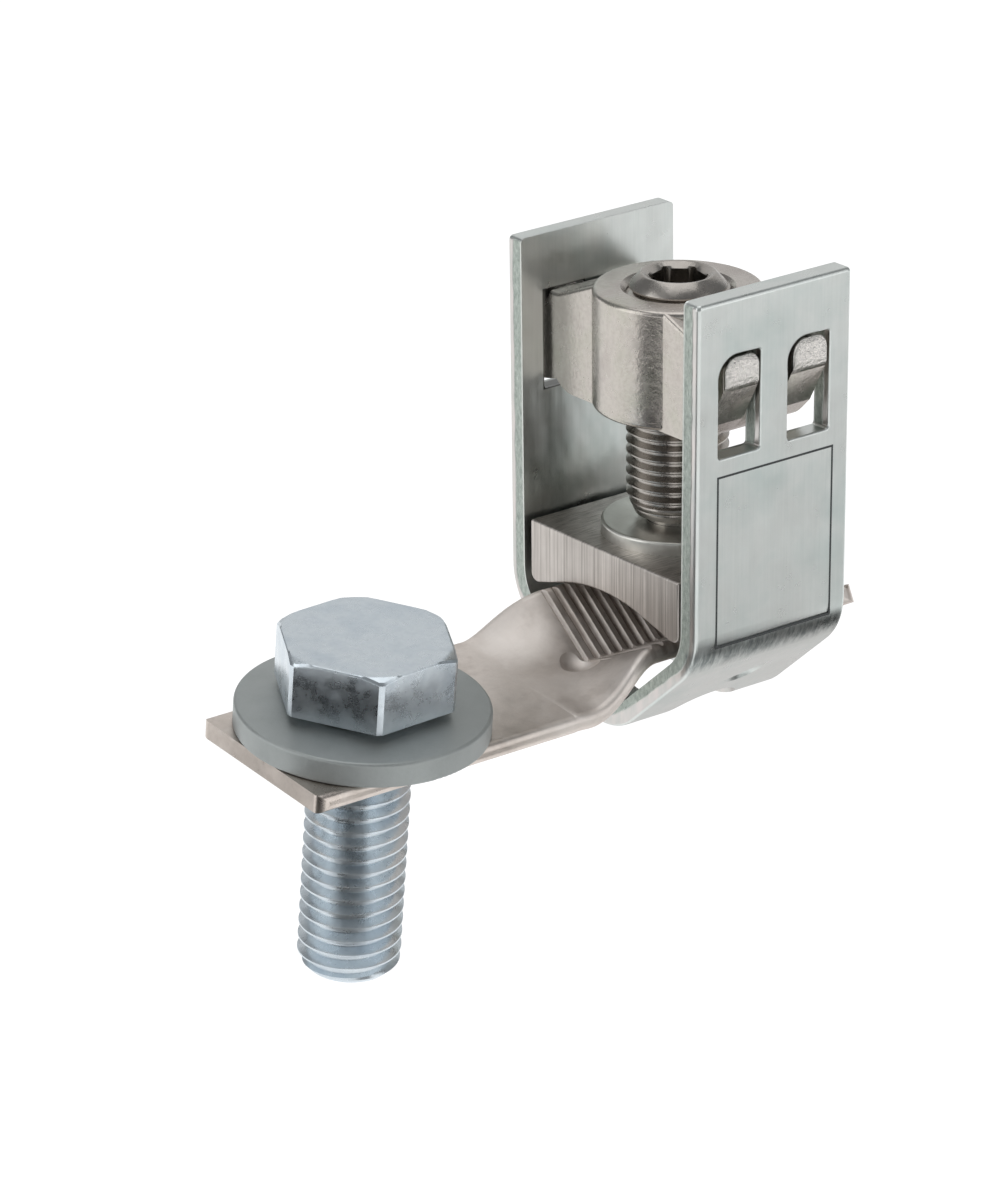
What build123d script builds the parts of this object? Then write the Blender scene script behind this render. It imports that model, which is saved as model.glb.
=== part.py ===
from build123d import *
import os
from math import sin, cos, tan, radians, sqrt, pi

os.makedirs("parts", exist_ok=True)

# ---------------------------------------------------------------- dimensions, mm
# Frame: origin in the middle of the bolt hole, on the underside of the tongue
# (the face that is bolted down). +X runs along the tongue to the clamp,
# +Z up along the bolt, +Y to the leg without the marking.

# contact tongue, one strip of plated copper
TONGUE_T = 2.2            # thickness
TONGUE_W = 22.3           # width of the flat strip
TONGUE_X0 = -14.05        # free end
BOLT_HOLE_R = 6.75        # clearance hole for an M12 bolt
FOLD_X0, FOLD_X1 = 22.0, 34.6          # flat before, full trough after
FOLD_LEFT = (22.4, 32.4)               # the +Y side rises between these
FOLD_RIGHT = (24.6, 34.6)              # and the -Y side between these
TONGUE_X1 = 65.2          # far end
TROUGH_ANGLE = 32.2       # slope of each trough side
VALLEY_DROP = 0.35        # the trough's floor lies this much under the flat's top
VALLEY_R = 1.0            # inside radius of the fold
EDGE_R = 0.9              # rounded long edges
RIDGE_X0 = 33.15          # crest of the first cross ridge
RIDGE_PITCH = 1.65
RIDGE_COUNT = 19
RIDGE_DEPTH = 0.5
PIP_X, PIP_Y, PIP_R, PIP_H = 30.2, -0.8, 1.75, 0.6  # pressed stop at the start of the trough

# clamp bracket, folded steel strip
STRIP_W = 22.5
STRIP_T = 2.5
INNER_W = 28.1            # between the legs
SPLAY = 0.35              # the legs open this much to each side at their tops
LEAN = 6.5                # the bracket leans this much towards +Y, degrees
CLAMP_X = 45.1            # middle of the bracket along the tongue
TOP_Y, TOP_Z = 4.5, 48.6  # middle of the leg tops
VEE_OUT = -57.64          # sharp outer corner of the bottom, from the leg tops
VEE_SLOPE = 40.8          # slope of each side of the bottom, degrees
CORNER_R = 5.5            # inside radius, leg to bottom
VERTEX_R = 5.8            # inside radius, middle of the bottom
WIN_X0, WIN_X1 = 2.05, 8.1
WIN_TOP, WIN_BOT = -6.75, -18.65       # below the leg tops
WIN_R = 2.7               # rounded upper corner of each window, bolt side
SLOT_W = 10.4             # long hole through the middle of the bottom: width
SLOT_ARC = 8.05           # and half its length, along the outer surface from the vertex
SLIT_A, SLIT_B = (-1.15, 13.0), (3.3, 15.9)      # ends of the slit at the dimple's upper side
SLIT_D = 1.15                          # how far its lower lip is pushed in

# screw bridge
BOSS_R = 9.8
BOSS_TOP, BOSS_BOT = -4.2, -18.4
LUG_X = 7.5
TIP_X0 = 2.45
TIP_Y = 17.5              # lug tips end here, a little proud of the legs
SCREW_BORE_R = 5.98

# clamp screw, M12 x 1.25, crests on SCREW_R
SCREW_R = 5.92
SCREW_TOP, SCREW_END = -2.55, -31.2
SOCKET_AF, SOCKET_DEPTH = 6.0, 6.0
NECK_R = 3.6
HEAD_R = 4.8

# thrust disc and pressure block
DISC_R, DISC_T = 8.8, 1.6
BLOCK_TOP = -33.7
BLOCK_Y, BLOCK_X = 13.3, 11.0          # half sizes
BLOCK_BOT = -41.2
ARCH_SLOPE, ARCH_R, FOOT_Y = 15.6, 25.0, 12.0
PIN_GAP = 0.06            # running gap of the screw's neck

# hexagon bolt M12 x 35 and conical spring washer
BOLT_R = 5.92
BOLT_LEN = 34.0
NECK_BOLT_R, THREAD_TOP = 5.45, -0.35  # reduced shank that holds the washer captive, and where the thread begins
HEAD_AF, HEAD_K = 18.8, 7.5
FACE_R, FACE_H = 8.3, 0.6  # bearing face turned under the head
HEAD_TURN = 2.0           # one corner points this far round from +X, degrees
WASHER_R, WASHER_BORE = 14.5, 6.5
WASHER_T, WASHER_H = 2.95, 3.75

S, C = sin(radians(LEAN)), cos(radians(LEAN))


# placing of everything that stands square to the legs: clamp coordinates are
# x from CLAMP_X, y across the legs, z up from the leg tops
CLAMP = Location((CLAMP_X, TOP_Y, TOP_Z), (-LEAN, 0, 0))
YZ = Plane(origin=(0, 0, 0), x_dir=(0, 1, 0), z_dir=(1, 0, 0))     # local x = +Y, local y = +Z


def save(name, shape):
    solids = shape.solids()
    out = solids[0] if len(solids) == 1 else Compound(solids)
    out.label = name
    export_step(out, "parts/" + name + ".step")
    b = out.bounding_box()
    print("%-16s %d solid  vol %8.1f  valid %s  x %.2f %.2f  y %.2f %.2f  z %.2f %.2f" % (
        name, len(solids), out.volume, out.is_valid, b.min.X, b.max.X, b.min.Y, b.max.Y, b.min.Z, b.max.Z))
    return out


def fillet_some(shape, edges, radii, what=""):
    "the largest of the given radii that this edge set takes"
    for r in radii:
        try:
            out = fillet(edges, r)
            if out.is_valid and abs(out.volume) > 0.8 * abs(shape.volume):
                return out
        except Exception:
            pass
    print("no fillet", what, len(edges), radii)
    return shape


# ---------------------------------------------------------------- contact tongue
HALF = TONGUE_W / 2
FULL = radians(TROUGH_ANGLE)
BEND = (VALLEY_R + TONGUE_T / 2) * FULL        # half the bent length, on the middle line


def smooth(t):
    t = min(1.0, max(0.0, t))
    return t * t * (3 - 2 * t)


def arm_frame(a, mid):
    """One side of the section, for y > 0. a is its slope, mid the height of the
    middle line at y = 0. Gives the arc's middle and end, on the top and on the
    underside, and the direction of the straight arm."""
    h = TONGUE_T / 2
    if a < 0.004:
        end = (BEND, mid)
        half = (BEND / 2, mid)
        d, n = (1.0, 0.0), (0.0, 1.0)
        top = [(half[0], mid + h), (end[0], mid + h)]
        bot = [(half[0], mid - h), (end[0], mid - h)]
        return top, bot, d, n
    r = BEND / a
    zc = mid + r
    p = lambda rr, t: (rr * sin(t), zc - rr * cos(t))
    top = [p(r - h, a / 2), p(r - h, a)]
    bot = [p(r + h, a / 2), p(r + h, a)]
    return top, bot, (cos(a), sin(a)), (-sin(a), cos(a))


def section(x, a_left, a_right, floor_top):
    """Closed section of the strip at x: slope of the +Y side, slope of the
    -Y side, and height of the top at y = 0."""
    mid = floor_top - TONGUE_T / 2
    h = TONGUE_T / 2
    arm = HALF - BEND
    loops = {}
    for side, a in ((1, a_left), (-1, a_right)):
        top, bot, d, n = arm_frame(a, mid)
        at = lambda base, u, v: (base[0] + d[0] * u + n[0] * v, base[1] + d[1] * u + n[1] * v)
        tip_t, tip_b = at(top[1], arm, 0), at(bot[1], arm, 0)
        e = EDGE_R
        k = e * (1 - sqrt(0.5))
        pts = dict(t_mid=top[0], t_end=top[1], t_tip=at(tip_t, -e, 0), t_c=at(tip_t, -k, -k), t_e=at(tip_t, 0, -e),
                   b_mid=bot[0], b_end=bot[1], b_tip=at(tip_b, -e, 0), b_c=at(tip_b, -k, k), b_e=at(tip_b, 0, e))
        loops[side] = {m: (x, side * y, z) for m, (y, z) in pts.items()}
    R, L = loops[-1], loops[1]
    top0, bot0 = (x, 0, mid + h), (x, 0, mid - h)

    def bend(p, q, r, a):
        return Line(p, r) if a < 0.004 else ThreePointArc(p, q, r)

    edges = [Line(R["t_tip"], R["t_end"]), bend(R["t_end"], R["t_mid"], top0, a_right),
             bend(top0, L["t_mid"], L["t_end"], a_left), Line(L["t_end"], L["t_tip"]),
             ThreePointArc(L["t_tip"], L["t_c"], L["t_e"]), Line(L["t_e"], L["b_e"]),
             ThreePointArc(L["b_e"], L["b_c"], L["b_tip"]), Line(L["b_tip"], L["b_end"]),
             bend(L["b_end"], L["b_mid"], bot0, a_left), bend(bot0, R["b_mid"], R["b_end"], a_right),
             Line(R["b_end"], R["b_tip"]), ThreePointArc(R["b_tip"], R["b_c"], R["b_e"]),
             Line(R["b_e"], R["t_e"]), ThreePointArc(R["t_e"], R["t_c"], R["t_tip"])]
    return Face(Wire(edges))


secs = []
steps = 8
for i in range(steps + 1):
    x = FOLD_X0 + (FOLD_X1 - FOLD_X0) * i / steps
    kl = smooth((x - FOLD_LEFT[0]) / (FOLD_LEFT[1] - FOLD_LEFT[0]))
    kr = smooth((x - FOLD_RIGHT[0]) / (FOLD_RIGHT[1] - FOLD_RIGHT[0]))
    if i == 0:
        kl = kr = 0.0
    if i == steps:
        kl = kr = 1.0
    secs.append(section(x, FULL * kl, FULL * kr, TONGUE_T - VALLEY_DROP * (kl + kr) / 2))
fold = loft(secs)
flat = extrude(secs[0], FOLD_X0 - TONGUE_X0, dir=(-1, 0, 0))
trough = extrude(secs[-1], TONGUE_X1 - FOLD_X1, dir=(1, 0, 0))
# free end: rounded corners
corner = Pos(TONGUE_X0 + 20, 0, 0) * Box(40, TONGUE_W, 20)
corner = fillet(corner.edges().filter_by(Axis.Z).sort_by(Axis.X)[:2], 1.3)
flat = flat & corner
# far end: rounded corners on both wings, cut square to each wing
end_cut = Pos(TONGUE_X1 - 20, 0, 0) * Box(40, 24, 40)
tongue = flat + fold + trough
for side in (1, -1):
    d = Vector(0, side * cos(FULL), sin(FULL))
    n = Vector(0, -side * sin(FULL), cos(FULL))
    r = 2.6
    tip = Vector(TONGUE_X1, 0, 0) + d * 0.0
    # wing tip on the top face
    zc = TONGUE_T - VALLEY_DROP + VALLEY_R
    ty = side * (VALLEY_R * sin(FULL) + (HALF - BEND) * cos(FULL))
    tz = zc - VALLEY_R * cos(FULL) + (HALF - BEND) * sin(FULL)
    pl = Plane(origin=(TONGUE_X1, ty, tz), x_dir=(1, 0, 0), z_dir=n)
    # local y of this plane is n x X: +d for the +Y wing, +d reversed for the other
    ly = n.cross(Vector(1, 0, 0))
    s = 1 if ly.dot(d) > 0 else -1
    nib = Pos(-r / 2 + 0.5, s * (-r / 2 + 0.5), 0) * Box(r + 1, r + 1, 12) - Pos(-r, -s * r, 0) * Cylinder(r, 14)
    nib = nib - Pos(-r - 5, 0, 0) * Box(10, 40, 14) - Pos(0, s * (-r - 5), 0) * Box(40, 10, 14)
    tongue = tongue - pl.location * nib
tongue = tongue - Cylinder(BOLT_HOLE_R, 20)

# cross ridges: rounded grooves pressed into both sides of the trough
zc = TONGUE_T - VALLEY_DROP + VALLEY_R
for side in (1, -1):
    d = Vector(0, side * cos(FULL), sin(FULL))
    n = Vector(0, -side * sin(FULL), cos(FULL))
    base = Vector(0, side * VALLEY_R * sin(FULL), zc - VALLEY_R * cos(FULL))
    start = base - d * 0.75
    cutters = []
    for i in range(-1, RIDGE_COUNT):
        xg = RIDGE_X0 + (i + 0.5) * RIDGE_PITCH
        depth = RIDGE_DEPTH if i >= 0 else 0.35
        w = 0.56 if i >= 0 else 0.45
        o = start + Vector(xg, 0, 0)
        P = lambda u, v: tuple(o + Vector(u, 0, 0) + n * v)
        prof = [Line(P(-w, 0.25), P(-w * 0.86, 0.0)), Line(P(-w * 0.86, 0.0), P(-0.17, -depth + 0.12)),
                ThreePointArc(P(-0.17, -depth + 0.12), P(0, -depth), P(0.17, -depth + 0.12)),
                Line(P(0.17, -depth + 0.12), P(w * 0.86, 0.0)), Line(P(w * 0.86, 0.0), P(w, 0.25)),
                Line(P(w, 0.25), P(-w, 0.25))]
        cutters.append(extrude(Face(Wire(prof)), (HALF - BEND) + 3.0, dir=d))
    tongue = tongue - cutters

# the stop pressed down at the start of the trough: hollow above, round below
pip_rs = (PIP_R ** 2 + PIP_H ** 2) / (2 * PIP_H)
z_top = TONGUE_T - VALLEY_DROP * 0.8
low = z_top - TONGUE_T
below = Pos(PIP_X, PIP_Y, low - PIP_H + pip_rs) * Sphere(pip_rs)
below = below & (Pos(PIP_X, PIP_Y, low - 2 + 0.9) * Box(10, 10, 4))
tongue = tongue + below
tongue = tongue - Pos(PIP_X, PIP_Y, z_top - PIP_H + pip_rs) * Sphere(pip_rs)
tongue = save("contact_tongue", tongue)


# ---------------------------------------------------------------- clamp bracket
hw = INNER_W / 2
ow = hw + STRIP_T
vb = radians(VEE_SLOPE)
vee_in = VEE_OUT + STRIP_T / cos(vb)


def outline(w, v):
    "leg, bottom, bottom, leg: the sharp corners of one surface of the strip"
    up = v + w * tan(vb)
    return [(-w - SPLAY, 0), (-w, up), (0, v), (w, up), (w + SPLAY, 0)]


inner, outer = outline(hw, vee_in), outline(ow, VEE_OUT)
with BuildSketch(YZ) as sk:
    with BuildLine():
        FilletPolyline(*inner, radius=(CORNER_R, VERTEX_R, CORNER_R))
        FilletPolyline(*outer, radius=(CORNER_R + STRIP_T, VERTEX_R + STRIP_T, CORNER_R + STRIP_T))
        Line(inner[0], outer[0])
        Line(inner[-1], outer[-1])
    make_face()
bracket = extrude(Location((-STRIP_W / 2, 0, 0)) * sk.sketch, STRIP_W, dir=(1, 0, 0))


# rounded top corners of the legs
TOP_R = 0.6
for sy in (-1, 1):
    for sx in (-1, 1):
        R = TOP_R
        c = Pos(sx * (STRIP_W / 2 - R / 2 + 0.5), sy * (hw + STRIP_T / 2), -R / 2 + 0.5) * Box(R + 1, 6, R + 1)
        c = c - Pos(sx * (STRIP_W / 2 - R), sy * (hw + STRIP_T / 2), -R) * Rot(90, 0, 0) * Cylinder(R, 7)
        bracket = bracket - c


def on_outside(e):
    "edges of the outer surface: the two long sides of the strip and its ends"
    c = e.position_at(0.5)
    y = abs(c.Y)
    if c.Z > -TOP_R - 0.05:
        return min(abs(e.position_at(0).Y), abs(e.position_at(1).Y)) > ow + SPLAY - 0.05
    if abs(abs(c.X) - STRIP_W / 2) > 0.01:
        return False
    if y < 1:
        return c.Z < VEE_OUT + (VERTEX_R + STRIP_T) * (1 / cos(vb) - 1) + STRIP_T / 2
    return y > (hw + ow) / 2 or c.Z < (VEE_OUT + vee_in) / 2 + y * tan(vb)


# the punched side: its edges are drawn in a little
bracket = fillet_some(bracket, bracket.edges().filter_by(on_outside), (0.5, 0.4, 0.3, 0.2), "outer edges")
# two windows in each leg, with the upper corner towards the bolt rounded
WC = (WIN_TOP + WIN_BOT) / 2
for sy in (-1, 1):
    for x0, x1 in ((-WIN_X1, -WIN_X0), (WIN_X0, WIN_X1)):
        w = Pos((x0 + x1) / 2, sy * (hw + STRIP_T / 2), WC) * Box(x1 - x0, 6, WIN_TOP - WIN_BOT)
        es = w.edges().filter_by(Axis.Y).filter_by(lambda e: e.center().Z > WC and e.center().X < (x0 + x1) / 2)
        w = fillet(es, WIN_R)
        es = w.edges().filter_by(Axis.Y).filter_by(
            lambda e: (abs(e.center().X - x0) < 0.01 or abs(e.center().X - x1) < 0.01)
            and (abs(e.center().Z - WIN_TOP) < 0.01 or abs(e.center().Z - WIN_BOT) < 0.01))
        w = fillet_some(w, es, (0.4,), "window corners")
        bracket = bracket - w


def window_rim(e):
    "edges of the windows on the outer side of the legs"
    c = e.center()
    return (abs(c.Y) > ow - 0.05 and min(abs(e.position_at(0).Y), abs(e.position_at(1).Y)) > ow - 0.05
            and WIN_BOT - 0.1 < c.Z < WIN_TOP + 0.1 and WIN_X0 - 0.1 < abs(c.X) < WIN_X1 + 0.1)


bracket = fillet_some(bracket, bracket.edges().filter_by(window_rim), (0.25, 0.2, 0.15), "window rims")

# long hole punched through the middle of the bottom before it was folded: its
# end walls stand square to the slopes
bend_c = Vector(0, 0, VEE_OUT + (VERTEX_R + STRIP_T) / cos(vb))
axis_at = SLOT_ARC - (VERTEX_R + STRIP_T) * vb - SLOT_W / 2
slot, ends = None, []
for sy in (1, -1):
    q = bend_c + Vector(0, sy * cos(vb), sin(vb)) * axis_at
    t = Vector(0, sy * sin(vb), -cos(vb))
    end = Plane(origin=q + t * 8.0, x_dir=(1, 0, 0), z_dir=t).location * Cylinder(SLOT_W / 2, 8.0)
    slot = end if slot is None else slot + end
    ends.append((q + t * 4.2, q + t * 12.0))
with BuildSketch(YZ) as sk:
    with BuildLine():
        Polyline(*[(v.Y, v.Z) for v in (ends[0][0], ends[0][1], ends[1][1], ends[1][0])], close=True)
    make_face()
slot = slot + extrude(Location((-SLOT_W / 2, 0, 0)) * sk.sketch, SLOT_W, dir=(1, 0, 0))
bracket = bracket - slot

# on the slope under the -Y leg the sheet is cut through along a short slanting slit
out = Vector(0, -sin(vb), -cos(vb))            # out of the slope
up = Vector(0, -cos(vb), sin(vb))              # up the slope, away from the corner


def on_slope(x, s):
    return Vector(x, 0, VEE_OUT) + up * s


pa, pb = on_slope(*SLIT_A), on_slope(*SLIT_B)
along = (pb - pa).normalized()
low = out.cross(along)
if low.dot(up) > 0:
    low = low * -1
half = (pb - pa).length / 2
mid = (pa + pb) * 0.5
lip_r = (half ** 2 + SLIT_D ** 2) / (2 * SLIT_D)
lip = Pos(*(mid + out * (lip_r - SLIT_D))) * Sphere(lip_r)
lip = lip & (Plane(origin=mid + low * 4, x_dir=along, z_dir=out).location * Box(12, 8, 12))
bracket = bracket - lip
cut = Plane(origin=mid - out * 1.5 + low * 0.15, x_dir=along, z_dir=out).location * Box(2 * half - 1.4, 0.3, 5.0)
bracket = bracket - cut
bracket = CLAMP * bracket
bracket = save("clamp_bracket", bracket)


# ---------------------------------------------------------------- screw bridge
def lug_profile(tip, deep=False):
    "half profile in the plane across the legs, +Y side, clamp coordinates"
    end = TIP_Y if tip else hw - 0.1
    q = hw - 0.1
    R = 4.2
    low = BOSS_BOT + R
    mid = (q - R * (1 - cos(pi / 4)), low - R * sin(pi / 4))
    with BuildSketch(YZ) as s:
        with BuildLine():
            Polyline((0, BOSS_BOT), (0, BOSS_TOP - 0.1), (6.3, BOSS_TOP - 0.1), (12.6, WIN_TOP - 0.08), (end, WIN_TOP - 0.08))
            if tip:
                # the tips are chamfered from below; the deep one fills its window
                low_end = [(end, -14.2), (15.6, -17.8)] if deep else [(end, -9.5), (14.25, -15.65)]
                Polyline((end, WIN_TOP - 0.08), *low_end, mid)
                ThreePointArc(mid, (q - R * (1 - cos(1.2)), low - R * sin(1.2)), (q - R, BOSS_BOT))
            else:
                Line((end, WIN_TOP - 0.08), (q, low))
                ThreePointArc((q, low), mid, (q - R, BOSS_BOT))
            Line((q - R, BOSS_BOT), (0, BOSS_BOT))
        make_face()
    return s.sketch


lug = extrude(Location((-LUG_X, 0, 0)) * lug_profile(False), 2 * LUG_X, dir=(1, 0, 0))
lug = lug + lug.mirror(Plane.XZ)
lug = fillet_some(lug, lug.edges().filter_by(lambda e: abs(abs(e.center().X) - LUG_X) < 0.01 and abs(e.center().Y) > 6.4
                                             and e.center().Z > -9), (0.5, 0.35), "lug tops")
tips = []
for x0, deep in ((-LUG_X, False), (TIP_X0, False), (-LUG_X, True)):
    tip = extrude(Location((x0, 0, 0)) * lug_profile(True, deep), LUG_X - TIP_X0, dir=(1, 0, 0))
    tip = tip & (Pos(0, 25, -10) * Box(60, 2 * (25 - hw + 1.2), 40))
    es = tip.edges().filter_by(Axis.Y).filter_by(lambda e: e.center().Z > -8).sort_by(Axis.X)
    tip = fillet_some(tip, es[:1], (1.9,), "tip top corner, bolt side")
    es = tip.edges().filter_by(Axis.Y).filter_by(lambda e: e.center().Z > -8 and e.center().X > x0 + 4.5)
    tip = fillet_some(tip, es, (1.5, 1.2, 0.8), "tip top corner")
    es = tip.edges().filter_by(lambda e: abs(e.center().Y - TIP_Y) < 0.01)
    tip = fillet_some(tip, es, (0.8, 0.65, 0.5, 0.4, 0.3), "tip ends")
    if deep:
        tips.append(tip)
    elif x0 < 0:
        tips.append(tip.mirror(Plane.XZ))
    else:
        tips += [tip, tip.mirror(Plane.XZ)]
boss = Pos(0, 0, (BOSS_TOP + BOSS_BOT) / 2) * Cylinder(BOSS_R, BOSS_TOP - BOSS_BOT)
boss = fillet_some(boss, boss.edges().filter_by(GeomType.CIRCLE), (0.6, 0.4), "boss rims")
bridge = lug + boss
for tip in tips:
    bridge = bridge + tip
bridge = bridge - Pos(0, 0, -10) * Cylinder(SCREW_BORE_R, 40)
bridge = bridge - Pos(0, 0, BOSS_TOP - 0.25) * Cone(SCREW_BORE_R - 0.01, SCREW_BORE_R + 0.75, 0.8)
bridge = CLAMP * bridge
bridge = save("screw_bridge", bridge)

# ---------------------------------------------------------------- clamp screw
PEEN_TOP, PEEN_END = -36.3, -38.1
with BuildSketch(Plane.XZ) as sk:
    with BuildLine():
        Polyline((0, SCREW_TOP), (4.3, SCREW_TOP), (5.62, SCREW_TOP - 1.4), (SCREW_R, SCREW_TOP - 1.75),
                 (SCREW_R, SCREW_END + 2.2), (4.9, SCREW_END), (NECK_R, SCREW_END), (NECK_R, PEEN_TOP),
                 (HEAD_R, PEEN_TOP), (HEAD_R, PEEN_END + 0.6), (HEAD_R - 0.8, PEEN_END), (0, PEEN_END), (0, SCREW_TOP))
    make_face()
screw = revolve(sk.sketch, Axis.Z)
socket = extrude(Pos(0, 0, SCREW_TOP) * RegularPolygon(SOCKET_AF / 2, 6, major_radius=False), -SOCKET_DEPTH)
socket = socket + Pos(0, 0, SCREW_TOP - SOCKET_DEPTH - 0.35) * Cone(0.4, 2.7, 0.8)
screw = screw - socket - Pos(0, 0, SCREW_TOP - 0.25) * Cone(3.25, 4.05, 0.8)
screw = CLAMP * screw
screw = save("clamp_screw", screw)

# ---------------------------------------------------------------- thrust disc
disc = Pos(0, 0, BLOCK_TOP + DISC_T / 2) * Cylinder(DISC_R, DISC_T)
disc = fillet(disc.edges().filter_by(GeomType.CIRCLE).group_by(Axis.Z)[-1], 0.35)
disc = disc - Pos(0, 0, BLOCK_TOP) * Cylinder(NECK_R + PIN_GAP, 10)
disc = CLAMP * disc
disc = save("thrust_disc", disc)

# ---------------------------------------------------------------- pressure block
rise = tan(radians(ARCH_SLOPE))
with BuildSketch(YZ) as sk:
    with BuildLine():
        FilletPolyline((-BLOCK_Y + 3, BLOCK_TOP), (-BLOCK_Y, BLOCK_TOP), (-BLOCK_Y, BLOCK_BOT),
                       (-FOOT_Y, BLOCK_BOT), (0, BLOCK_BOT + FOOT_Y * rise), (FOOT_Y, BLOCK_BOT),
                       (BLOCK_Y, BLOCK_BOT), (BLOCK_Y, BLOCK_TOP), (BLOCK_Y - 3, BLOCK_TOP),
                       radius=(0.3, 1.0, 0.8, ARCH_R, 0.8, 1.0, 0.3))
        Line((-BLOCK_Y + 3, BLOCK_TOP), (BLOCK_Y - 3, BLOCK_TOP))
    make_face()
block = extrude(Location((-BLOCK_X, 0, 0)) * sk.sketch, 2 * BLOCK_X, dir=(1, 0, 0))
es = block.edges().filter_by(lambda e: abs(abs(e.center().X) - BLOCK_X) < 0.01)
block = fillet_some(block, es, (0.25, 0.15), "block outline")
block = block - Pos(0, 0, -36) * Cylinder(NECK_R + PIN_GAP, 20)
block = block - Pos(0, 0, PEEN_TOP + 0.04 - 4) * Cylinder(HEAD_R + 0.4, 8)
block = CLAMP * block
block = save("pressure_block", block)

# ---------------------------------------------------------------- hexagon bolt
seat = TONGUE_T + WASHER_H + 0.02
with BuildSketch(Plane.XZ) as sk:
    with BuildLine():
        top = THREAD_TOP - seat
        Polyline((0, 0.5), (NECK_BOLT_R, 0.5), (NECK_BOLT_R, top), (BOLT_R, top - (BOLT_R - NECK_BOLT_R)),
                 (BOLT_R, -BOLT_LEN + 1.1), (BOLT_R - 1.05, -BOLT_LEN), (0, -BOLT_LEN), (0, 0.5))
    make_face()
shank = revolve(sk.sketch, Axis.Z)
hexagon = RegularPolygon(HEAD_AF / 2, 6, major_radius=False)
first = hexagon.vertices()[0]
head = extrude(hexagon, HEAD_K)
# the turned chamfer on top and the slightly broken corners
e = HEAD_AF / sqrt(3)
rf = 0.95 * HEAD_AF / 2
with BuildSketch(Plane.XZ) as sk:
    with BuildLine():
        Polyline((0, 0), (e - 0.18, 0), (e - 0.18, HEAD_K - (e - 0.18 - rf) * tan(radians(28))), (rf, HEAD_K), (0, HEAD_K), (0, 0))
    make_face()
head = head & revolve(sk.sketch, Axis.Z)
head = head - Pos(0, 0, FACE_H / 2 - 1) * Box(40, 40, FACE_H + 2) + Pos(0, 0, FACE_H / 2) * Cylinder(FACE_R, FACE_H)
bolt = Pos(0, 0, seat) * Rot(0, 0, HEAD_TURN) * (head + shank)
bolt = save("hex_bolt", bolt)
print("head corner", [round(v, 3) for v in (first.X, first.Y)])

# ---------------------------------------------------------------- spring washer
cone = (WASHER_H - WASHER_T) / (WASHER_R - WASHER_BORE)
zi = TONGUE_T + WASHER_H
with BuildSketch(Plane.XZ) as sk:
    with BuildLine():
        FilletPolyline((WASHER_BORE, zi - WASHER_T), (WASHER_R, TONGUE_T), (WASHER_R, TONGUE_T + WASHER_T),
                       (WASHER_BORE, zi), radius=(0.2, 0.25, 0.4, 0.25), close=True)
    make_face()
washer = revolve(sk.sketch, Axis.Z)
washer = save("spring_washer", washer)
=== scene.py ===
import bpy
import bmesh
from math import sin, cos, tan, radians, sqrt, pi, atan2, floor as mfloor
from mathutils import Vector, Matrix


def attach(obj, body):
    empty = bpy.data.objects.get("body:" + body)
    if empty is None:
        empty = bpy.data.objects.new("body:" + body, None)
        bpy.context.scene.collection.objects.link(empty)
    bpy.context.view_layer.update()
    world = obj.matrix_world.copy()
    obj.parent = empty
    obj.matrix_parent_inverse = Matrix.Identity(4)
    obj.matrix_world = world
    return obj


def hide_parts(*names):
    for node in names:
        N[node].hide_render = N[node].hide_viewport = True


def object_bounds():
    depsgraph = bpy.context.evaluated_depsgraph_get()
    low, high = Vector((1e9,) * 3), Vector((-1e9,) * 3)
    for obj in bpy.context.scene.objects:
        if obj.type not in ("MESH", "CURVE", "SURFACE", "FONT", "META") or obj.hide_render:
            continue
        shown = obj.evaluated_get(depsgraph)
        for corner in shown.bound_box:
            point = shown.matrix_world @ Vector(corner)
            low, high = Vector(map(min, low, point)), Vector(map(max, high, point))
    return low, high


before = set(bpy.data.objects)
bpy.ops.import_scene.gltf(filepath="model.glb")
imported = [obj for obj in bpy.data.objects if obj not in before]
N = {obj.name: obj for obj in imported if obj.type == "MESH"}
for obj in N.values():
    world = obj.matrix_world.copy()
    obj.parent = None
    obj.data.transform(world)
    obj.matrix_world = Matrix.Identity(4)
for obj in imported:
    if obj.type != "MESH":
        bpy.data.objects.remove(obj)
cad_box = [list(v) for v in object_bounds()]
MM = 0.001

# clamp coordinates: x from the middle of the bracket, y across the legs, z up
# from the leg tops; everything in the clamp leans by LEAN towards +Y
LEAN = radians(6.5)
S, C = sin(LEAN), cos(LEAN)
CX, TY, TZ = 45.1, 4.5, 48.6


def from_clamp(x, y, z):
    return Vector(((CX + x) * MM, (TY + y * C + z * S) * MM, (TZ - y * S + z * C) * MM))


CLAMP_MATRIX = Matrix(((1, 0, 0, CX * MM), (0, C, S, TY * MM), (0, -S, C, TZ * MM), (0, 0, 0, 1)))


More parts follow.
